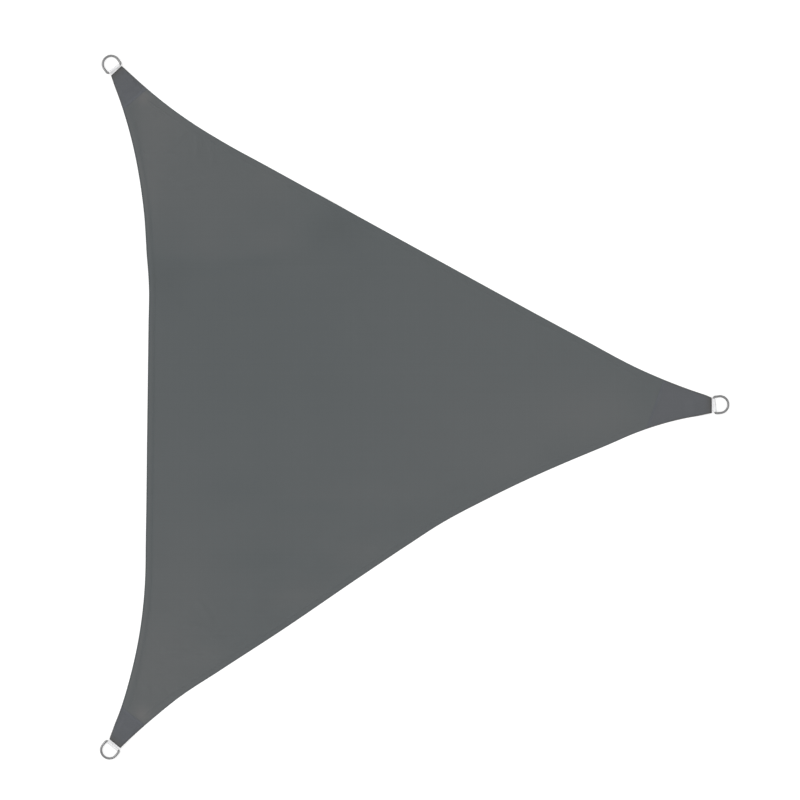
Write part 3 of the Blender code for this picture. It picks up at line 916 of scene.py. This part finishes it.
def add_panel(settings):
    """Adds the sail's cloth with its hems."""
    cloth, sewing = settings.cloth, settings.sewing
    outline = sail_outline(cloth.mesh_pitch)
    rows = rolled_edge(outline, cloth.hem_thickness, SAIL_EDGE_PAINTED_SHADE)
    for inward in HEM_LIES_FLAT_AT:
        rows.append(Row(inset_loop(outline, inward), cloth.hem_thickness, 0.0,
                        inset_loop(outline, -inward)))
    fold, unfolded, softness = hem_line(cloth, cloth.mesh_pitch)
    step = cloth.hem_thickness - cloth.thickness
    steps, heights, _ = np.array(HEM_STEPS).T
    for from_fold, _, drawn_in in HEM_STEPS:
        loop = inset_loop(fold, from_fold)
        away = np.copysign(distance_to_path(loop, closed(fold))[0], from_fold)
        sewn = np.interp(away, steps, heights)
        run_out = 1 - ease((away - steps[0]) / (steps[-1] - steps[0]))
        top = (cloth.thickness + step * (sewn + (run_out - sewn) * softness)
               - sewing.seam_depth * drawn_in * (1 - softness))
        weave = None
        if from_fold < 0:
            turned = inset_loop(unfolded, -from_fold)
            weave = np.where(softness[:, None] < 1, turned, loop)
        rows.append(Row(loop, top, 0.0, weave))
    mesh = sheet_mesh("sail_cloth", rows, cloth.thickness, cloth.mesh_pitch, lie, panel_painted_light)
    material = woven_material("grey sailcloth", cloth.colour, cloth.thread_pitch, desaturation=5.5)
    piece = add_piece("sail_cloth", mesh, material, "sail_panel")


# The gap between a ring's bar and the webbing round it, and how far past the sail's cut the
# webbing starts to bend.
BAR_CLEARANCE = 0.0004
WEBBING_BENDS_AHEAD = 0.00045


class Bar:
    """The place of a corner's ring bar, with ahead and aside as plan directions."""

    def __init__(self, settings, corner):
        self.middle = corner.at + direction(corner.faces) * corner.bar_ahead
        self.ahead = direction(corner.pulls)
        self.aside = left_of(self.ahead)
        self.height = settings.ring.wire_radius + BAR_CLEARANCE + settings.webbing.thickness

    def local(self, points):
        """Returns plan points as (ahead, aside) of the bar's middle."""
        offset = points - self.middle
        return np.stack((offset @ self.ahead, offset @ self.aside), axis=-1)

    def placed(self, ahead, aside, up):
        """Returns points given as (ahead, aside, up) of the bar's middle."""
        plan = self.middle + np.outer(ahead, self.ahead) + np.outer(aside, self.aside)
        return np.column_stack((plan, self.height + np.asarray(up)))


def tail_heights(settings):
    """Returns the heights of the webbing's lower and upper tail, at mid thickness."""
    cloth, webbing = settings.cloth, settings.webbing
    lower = cloth.hem_thickness + cloth.ply_gap + webbing.thickness / 2
    return lower, lower + webbing.thickness + cloth.ply_gap


# A patch lies this far inside the sail's edge.
PATCH_INSET = 0.0003
# It clears the webbing's tails by this much and slopes down over this length, which is
# stretched past the end of the tails.
PATCH_CLEARS_WEBBING = 0.0008
PATCH_SLOPES_OVER = 0.010
PATCH_END_STRETCH = 2.5
# Its rim is this thick, and the cloth swells to its own thickness over this length. The edge
# also drops a little towards the panel.
PATCH_RIM = 0.0005
PATCH_SWELLS_OVER = 0.005
PATCH_EDGE_DROP = 0.00022
PATCH_EDGE_RUN = 0.004
# Its two seams are this far inside its edge, in grooves of this half width.
PATCH_SEAMS = (0.0030, 0.0080)
SEAM_HALF_WIDTH = 0.0012


def patch_free_edge(corner, step):
    """Returns a patch's edge along the sail's own edges and round its cut corner."""
    leaving = next(edge for edge in EDGES.values() if edge.first is corner)
    arriving = next(edge for edge in EDGES.values() if edge.last is corner)
    out = leaving.points(spread(0, corner.patch_out, step))
    back = arriving.points(spread(arriving.length - corner.patch_in, arriving.length, step))
    return np.concatenate((back, between(back[-1], out[0], step), out))


def patch_outline(corner, step):
    """Returns a patch's whole edge as an anticlockwise loop."""
    free_edge = patch_free_edge(corner, step)
    loop = np.concatenate((free_edge, between(free_edge[-1], free_edge[0], step)))
    return inset_loop(loop, PATCH_INSET)


def patch_lift(settings, corner, outline):
    """Returns the function that gives the height of a patch's underside at plan points."""
    cloth, webbing = settings.cloth, settings.webbing
    bar = Bar(settings, corner)
    lies_at = cloth.hem_thickness + cloth.ply_gap
    rises_to = tail_heights(settings)[1] + webbing.thickness / 2 + cloth.ply_gap
    tail_end = corner.bar_ahead + webbing.upper_tail

    def lift(points):
        ahead, aside = bar.local(points).T
        past_side = np.maximum(0.0, np.abs(aside) - webbing.width / 2)
        past_end = np.maximum(0.0, -ahead - tail_end) / PATCH_END_STRETCH
        clear = np.hypot(past_side, past_end) - PATCH_CLEARS_WEBBING
        over = 1 - ease(clear / PATCH_SLOPES_OVER)
        from_edge = distance_to_path(points, closed(outline))[0]
        settle = (1 - ease(from_edge / PATCH_EDGE_RUN)) * PATCH_EDGE_DROP
        return lies_at + (rises_to - lies_at) * over - settle * (1 - over)

    return lift


# Painted light and shade that a patch's parts add to the cloth's brightness, and over which
# length: the painted shadow behind the cut, painted shade at the corner's tip and along the
# edges that follow the sail's own, and painted light at the inner end. The painted light along
# the seam at that end is the corner's own.
CUT_TONE, CUT_TONE_OVER = -0.46, 0.0055
TIP_PAINTED_SHADE, TIP_PAINTED_SHADE_OVER = -0.05, 0.028
PATCH_EDGE_PAINTED_SHADE, PATCH_EDGE_PAINTED_SHADE_OVER = -0.20, 0.0045
PATCH_END_PAINTED_LIGHT, PATCH_END_PAINTED_LIGHT_OVER = 0.035, 0.012
SEAM_PAINTED_LIGHT_OVER = 0.0032


def patch_tones(corner, step):
    """Returns the function that gives a patch's tone at plan points, with its painted light and
    shade.
    """
    free_edge = patch_free_edge(corner, step)

    def tone(points):
        behind_cut = -(points - corner.at) @ direction(corner.faces)
        from_edge = distance_to_path(points, free_edge)[0]
        from_end = distance_to_path(points, free_edge[[-1, 0]])[0]
        from_seam = (from_end - PATCH_SEAMS[0]) / SEAM_PAINTED_LIGHT_OVER
        return (corner.patch_tone + corner.seam_tone * np.exp(-from_seam**2)
                + CUT_TONE * np.exp(-behind_cut / CUT_TONE_OVER)
                + PATCH_END_PAINTED_LIGHT * (1 - ease(from_end / PATCH_END_PAINTED_LIGHT_OVER))
                + TIP_PAINTED_SHADE * (1 - ease(behind_cut / TIP_PAINTED_SHADE_OVER))
                + PATCH_EDGE_PAINTED_SHADE * np.maximum(0.0, 1 - from_edge / PATCH_EDGE_PAINTED_SHADE_OVER))

    return tone


def add_patch(settings, corner, material):
    """Adds the cloth patch that covers a corner and the webbing's tails."""
    cloth = settings.cloth
    outline = patch_outline(corner, cloth.patch_pitch)
    rows = [row._replace(weave=None) for row in rolled_edge(outline, PATCH_RIM, 0.0)]
    for seam in PATCH_SEAMS:
        for offset, drawn_in in ((-SEAM_HALF_WIDTH, 0.0), (0.0, 1.0), (SEAM_HALF_WIDTH, 0.0)):
            inward = seam + offset
            swell = (cloth.patch_thickness - PATCH_RIM) * ease(inward / PATCH_SWELLS_OVER)
            top = PATCH_RIM + swell - settings.sewing.seam_depth * drawn_in
            rows.append(Row(trimmed_inset(outline, inward), top, 0.0))
    name = "corner_cloth_" + corner.name
    mesh = sheet_mesh(name, rows, cloth.patch_thickness, cloth.patch_pitch,
                      patch_lift(settings, corner, outline),
                      patch_tones(corner, cloth.patch_pitch))
    piece = add_piece(name, mesh, material, "corner_patch_" + corner.name)


# The box of stitches on the webbing: how far behind the cut it starts and ends, and half its
# width. The middle of a stitch lies above the cloth by STITCH_RISE of the thread's width.
BOX_BEHIND_CUT = (0.012, 0.044)
BOX_HALF_WIDTH = 0.0105
BOX_STEP = 0.003
HEM_SEAM_STEP = 0.004
STITCH_RISE = 0.15


def hem_seam(settings, edge):
    """Returns the points of the hem's seam along one edge, on top of the cloth."""
    cloth, sewing = settings.cloth, settings.sewing
    places = spread(edge.first.patch_out, edge.length - edge.last.patch_in, HEM_SEAM_STEP)
    points = edge.points(places, edge.hem_widths(cloth, places) - sewing.from_fold)
    height = cloth.hem_thickness - sewing.seam_depth + sewing.thread_width * STITCH_RISE
    return np.column_stack((points, lie(points) + height))


def patch_seams(settings, corner):
    """Returns the seams of a patch: two rows round it, and a crossed box on the webbing."""
    cloth, sewing = settings.cloth, settings.sewing
    outline = patch_outline(corner, cloth.patch_pitch)
    lift = patch_lift(settings, corner, outline)
    bar = Bar(settings, corner)
    near, far = (-corner.bar_ahead - behind for behind in BOX_BEHIND_CUT)
    box = bar.placed([near, near, far, far], np.array((1, -1, -1, 1)) * BOX_HALF_WIDTH,
                     np.zeros(4))[:, :2]
    lines = [(closed(trimmed_inset(outline, seam)), -sewing.seam_depth) for seam in PATCH_SEAMS]
    for start, end in ((0, 1), (1, 2), (2, 3), (3, 0), (0, 2), (1, 3)):
        run = between(box[start], box[end], BOX_STEP)
        lines.append((np.concatenate((box[[start]], run, box[[end]])), 0.0))
    rest = cloth.patch_thickness + sewing.thread_width * STITCH_RISE
    return [np.column_stack((line, lift(line) + rest + drop)) for line, drop in lines]


def sew(name, seams, sewing, tree, thread):
    """Adds stitches along seams as one piece."""
    values = {
        "Stitch Length": sewing.stitch_length,
        "Stitch Gap": sewing.stitch_gap,
        "Thread Width": sewing.thread_width,
        "Thread": thread,
    }
    meshes = [baked(name, seam, tree, {**values, "Seed": number})
              for number, seam in enumerate(seams)]
    add_piece(name, joined(name, meshes, thread))


# How finely the rings and the webbing are shaped.
TIGHT_BEND_POINTS, BOW_POINTS, WEBBING_FOLD_POINTS = 12, 72, 40
WEBBING_STEP = 0.004
POINTS_PER_RIB = 4


def arc(centre, radius, first, last, steps):
    """Returns points round an arc, from the first angle to the last, in degrees."""
    angles = np.radians(np.linspace(first, last, steps))
    return np.column_stack((centre[0] + radius * np.cos(angles),
                            centre[1] + radius * np.sin(angles)))


def ring_centre_line(ring):
    """Returns the D-ring's centre line: a bar along y, two tight corners and a round bow."""
    radius = ring.corner_radius
    side = ring.half_width - radius
    return np.concatenate((
        arc((radius, -side), radius, 180, 270, TIGHT_BEND_POINTS)[:-1],
        arc((ring.depth - ring.half_width, 0), ring.half_width, -90, 90, BOW_POINTS),
        arc((radius, side), radius, 90, 180, TIGHT_BEND_POINTS)[1:],
    ))


def add_ring(settings, corner, tree, material):
    """Adds a D-ring on its bar, with its bow lowered until it rests on the floor."""
    ring = settings.ring
    bar = Bar(settings, corner)
    ahead, aside = ring_centre_line(ring).T
    tilt = math.asin((bar.height - ring.wire_radius) / ring.depth)
    path = bar.placed(ahead * math.cos(tilt), aside, -ahead * math.sin(tilt))
    name = "steel_ring_" + corner.name
    mesh = baked(name, path, tree, {
        "Wire Radius": ring.wire_radius, "Wire Sides": ring.wire_sides, "Steel": material,
    }, is_loop=True)
    add_piece(name, mesh, node="d_ring_" + corner.name)


def touching_angle(point, radius, turn):
    """Returns where a line from a point touches a circle round the origin, as an angle."""
    return math.atan2(point[1], point[0]) + turn * math.acos(radius / math.hypot(*point))


def webbing_path(settings, corner):
    """Returns the folded webbing's centre line as (ahead, up) from the ring's bar. Its tails
    bend just past the cut, at the side where the cut comes nearest to the bar."""
    webbing = settings.webbing
    bar_height = Bar(settings, corner).height
    radius = settings.ring.wire_radius + BAR_CLEARANCE + webbing.thickness / 2
    lower, upper = (height - bar_height for height in tail_heights(settings))
    turned = math.radians(abs(corner.pulls - corner.faces))
    bend = (WEBBING_BENDS_AHEAD + webbing.width / 2 * math.sin(turned)
            - corner.bar_ahead * math.cos(turned))
    first = touching_angle((bend, lower), radius, 1) % math.tau
    last = touching_angle((bend, upper), radius, -1) % math.tau + math.tau
    angles = np.linspace(first, last, WEBBING_FOLD_POINTS)
    fold = radius * np.column_stack((np.cos(angles), np.sin(angles)))
    below, above = (spread(-corner.bar_ahead - tail, bend, WEBBING_STEP)
                    for tail in (webbing.lower_tail, webbing.upper_tail))
    return np.concatenate((
        np.column_stack((below, np.full_like(below, lower))), fold,
        np.column_stack((above, np.full_like(above, upper)))[::-1],
    ))


def quads(grid):
    """Returns the four-sided faces of a grid of point numbers."""
    return np.stack((grid[:-1, :-1], grid[:-1, 1:], grid[1:, 1:], grid[1:, :-1]),
                    axis=-1).reshape(-1, 4)


def add_webbing(settings, corner, material):
    """Adds the ribbed webbing folded round the ring's bar."""
    webbing = settings.webbing
    bar = Bar(settings, corner)
    path = webbing_path(settings, corner)
    outward = left_of(unit(np.gradient(path, axis=0)))
    run = np.concatenate(([0.0], np.cumsum(np.linalg.norm(np.diff(path, axis=0), axis=1))))
    half_width, half_thickness = webbing.width / 2, webbing.thickness / 2
    across = np.linspace(-half_width, half_width, webbing.ribs * POINTS_PER_RIB + 1)
    selvage = np.clip((np.abs(across) - half_width + half_thickness) / half_thickness, 0.0, 1.0)
    ribs = webbing.rib_height * np.cos(across * math.tau * webbing.ribs / webbing.width)
    depth = ((half_thickness - webbing.rib_height) * np.sqrt(1 - selvage**2)
             + ribs * (1 - selvage))
    depth[[0, -1]] = 0.0
    sides = []
    for offset in (depth, -depth):
        ahead = path[:, :1] + outward[:, :1] * offset
        up = path[:, 1:] + outward[:, 1:] * offset
        aside = np.broadcast_to(across, ahead.shape)
        sides.append(bar.placed(ahead.ravel(), aside.ravel(), up.ravel()))
    index = np.arange(ahead.size).reshape(ahead.shape)
    other = index + ahead.size
    other[:, 0], other[:, -1] = index[:, 0], index[:, -1]
    faces = [*quads(index)[:, ::-1].tolist(), *quads(other).tolist()]
    for end, turn in ((0, 1), (-1, -1)):
        cap = quads(np.stack((index[end], other[end]))).tolist()
        faces += [list(dict.fromkeys(face))[::turn] for face in cap]
    uv_of = np.stack(np.broadcast_arrays(across[None, :], run[:, None]), axis=-1).reshape(-1, 2)
    uvs = np.concatenate((uv_of, uv_of))[np.concatenate(faces)]
    name = "webbing_" + corner.name
    mesh = smooth_mesh(name, np.concatenate(sides), faces, uvs)
    piece = add_piece(name, mesh, material, "webbing_loop_" + corner.name)


# Stage

def add_floor(stage):
    """Adds the pale floor under the sail."""
    half = stage.floor_size / 2
    mesh = bpy.data.meshes.new("floor")
    mesh.from_pydata([(x * half, y * half, CAD_BOX[0].z)
                      for x, y in ((-1, -1), (1, -1), (1, 1), (-1, 1))], [], [(0, 1, 2, 3)])
    made, build = new_material("pale floor")
    build.show({
        "Base Color": (*stage.floor_colour, 1.0), "Roughness": 0.9, "Specular IOR Level": 0.0,
        "Emission Color": (1.0, 1.0, 1.0, 1.0), "Emission Strength": stage.floor_glow,
    })
    mesh.materials.append(made)
    new_object("floor", mesh)


def add_sky(stage):
    """Lights the room softly: bright overhead, darker at the sides, pale at the horizon."""
    world = bpy.data.worlds.new("studio")
    bpy.context.scene.world = world
    world.use_nodes = True
    build = NodeBuilder(world.node_tree)
    heading = build.add("ShaderNodeTexCoord").outputs["Generated"]
    up = build.add("ShaderNodeSeparateXYZ", {0: heading}).outputs["Z"]
    ramp = build.add("ShaderNodeValToRGB", {0: up})
    # Brightness of the sky by the sine of the height above the horizon.
    stops = ((0.0, 0.9), (0.06, stage.side_light), (0.45, stage.side_light), (0.62, 1.0),
             (0.84, 1.0), (0.92, 0.3))
    elements = ramp.color_ramp.elements
    elements.remove(elements[1])
    for number, (place, brightness) in enumerate(stops):
        element = elements[0] if number == 0 else elements.new(place)
        element.position = place
        element.color = (brightness, brightness, brightness, 1.0)
    glow = build.add("ShaderNodeBackground", {"Color": ramp, "Strength": stage.top_light})
    build.add("ShaderNodeOutputWorld", {"Surface": glow})


# How wide the key light spreads and how it is turned from straight down, in degrees.
KEY_SPREAD = 40
KEY_TURN = (-8, -42, 0)
VIEW_END = 200.0


def add_key_light(stage):
    """Adds the broad light that falls from the left and shows the cloth's folds."""
    light = bpy.data.lights.new("key", "SUN")
    light.energy = stage.key_light
    light.angle = math.radians(KEY_SPREAD)
    new_object("key", light).rotation_euler = [math.radians(turn) for turn in KEY_TURN]


def add_camera(stage):
    """Adds the camera straight above the sail, framed as the sail is shown."""
    lens = bpy.data.cameras.new("overhead")
    lens.lens = stage.lens
    lens.clip_end = VIEW_END
    camera = new_object("overhead", lens)
    half_angle = math.atan(lens.sensor_width / 2 / lens.lens)
    camera.location = (stage.view_x, stage.view_y, stage.view_width / 2 / math.tan(half_angle))
    bpy.context.scene.camera = camera


# Operators

class SHADESAIL_OT_panel(Operator):
    """Make the sail's cloth with its hems"""
    bl_idname = "shadesail.panel"
    bl_label = "Sail Cloth"

    def execute(self, context):
        add_panel(context.scene.shade_sail)
        return {"FINISHED"}


class SHADESAIL_OT_patches(Operator):
    """Make the cloth patch of each corner"""
    bl_idname = "shadesail.patches"
    bl_label = "Corner Patches"

    def execute(self, context):
        settings = context.scene.shade_sail
        material = woven_material("doubled grey sailcloth", settings.cloth.patch_colour,
                                  settings.cloth.thread_pitch, desaturation=-4.5)
        for corner in CORNERS:
            add_patch(settings, corner, material)
        return {"FINISHED"}


class SHADESAIL_OT_webbing(Operator):
    """Make the webbing loop of each corner"""
    bl_idname = "shadesail.webbing"
    bl_label = "Webbing Loops"

    def execute(self, context):
        settings = context.scene.shade_sail
        webbing = settings.webbing
        material = woven_material("white webbing", webbing.colour, webbing.thread_pitch,
                                  clouds=0.05, bump=0.6, roughness=0.7, sheen=0.05,
                                  specular=0.3)
        for corner in CORNERS:
            add_webbing(settings, corner, material)
        return {"FINISHED"}


class SHADESAIL_OT_rings(Operator):
    """Make the D-ring of each corner"""
    bl_idname = "shadesail.rings"
    bl_label = "D-Rings"

    def execute(self, context):
        settings = context.scene.shade_sail
        tree, material = wire_tree(), steel_material(settings.ring)
        for corner in CORNERS:
            add_ring(settings, corner, tree, material)
        return {"FINISHED"}


class SHADESAIL_OT_sewing(Operator):
    """Sew the hems and the corner patches"""
    bl_idname = "shadesail.sewing"
    bl_label = "Sewing"

    def execute(self, context):
        settings = context.scene.shade_sail
        sewing = settings.sewing
        tree, thread = stitch_tree(), thread_material(sewing)
        for name, edge in EDGES.items():
            sew("hem_stitches_" + name, [hem_seam(settings, edge)], sewing, tree, thread)
        for corner in CORNERS:
            seams = patch_seams(settings, corner)
            sew("corner_stitches_" + corner.name, seams, sewing, tree, thread)
        return {"FINISHED"}


class SHADESAIL_OT_stage(Operator):
    """Make the floor, the light and the camera"""
    bl_idname = "shadesail.stage"
    bl_label = "Stage"

    def execute(self, context):
        for add in (add_floor, add_sky, add_key_light, add_camera):
            add(context.scene.shade_sail.stage)
        context.scene.view_settings.view_transform = "Standard"
        return {"FINISHED"}


class SHADESAIL_PT_sidebar(Panel):
    """Lists the sail's pieces in the sidebar"""
    bl_label = "Shade Sail"
    bl_space_type = "VIEW_3D"
    bl_region_type = "UI"
    bl_category = "Shade Sail"

    def draw(self, context):
        for operator in OPERATORS:
            self.layout.operator(operator.bl_idname)
        settings = context.scene.shade_sail
        for group_name in ShadeSailSettings.__annotations__:
            group = getattr(settings, group_name)
            box = self.layout.box()
            for name in group.__annotations__:
                box.prop(group, name)


GROUPS = (ClothSettings, SewingSettings, WebbingSettings, RingSettings, StageSettings,
          ShadeSailSettings)
OPERATORS = (SHADESAIL_OT_stage, SHADESAIL_OT_panel, SHADESAIL_OT_patches,
             SHADESAIL_OT_rings, SHADESAIL_OT_webbing, SHADESAIL_OT_sewing)
CLASSES = (*GROUPS, *OPERATORS, SHADESAIL_PT_sidebar)


def register():
    """Registers the classes and gives the scene its settings."""
    for item in CLASSES:
        bpy.utils.register_class(item)
    bpy.types.Scene.shade_sail = PointerProperty(type=ShadeSailSettings)


def unregister():
    """Takes the settings and the classes away again."""
    del bpy.types.Scene.shade_sail
    for item in reversed(CLASSES):
        bpy.utils.unregister_class(item)


def main():
    """Makes the whole scene."""
    register()
    bpy.ops.shadesail.stage()
    bpy.ops.shadesail.panel()
    bpy.ops.shadesail.patches()
    bpy.ops.shadesail.rings()
    bpy.ops.shadesail.webbing()
    bpy.ops.shadesail.sewing()


if __name__ == "__main__":
    main()
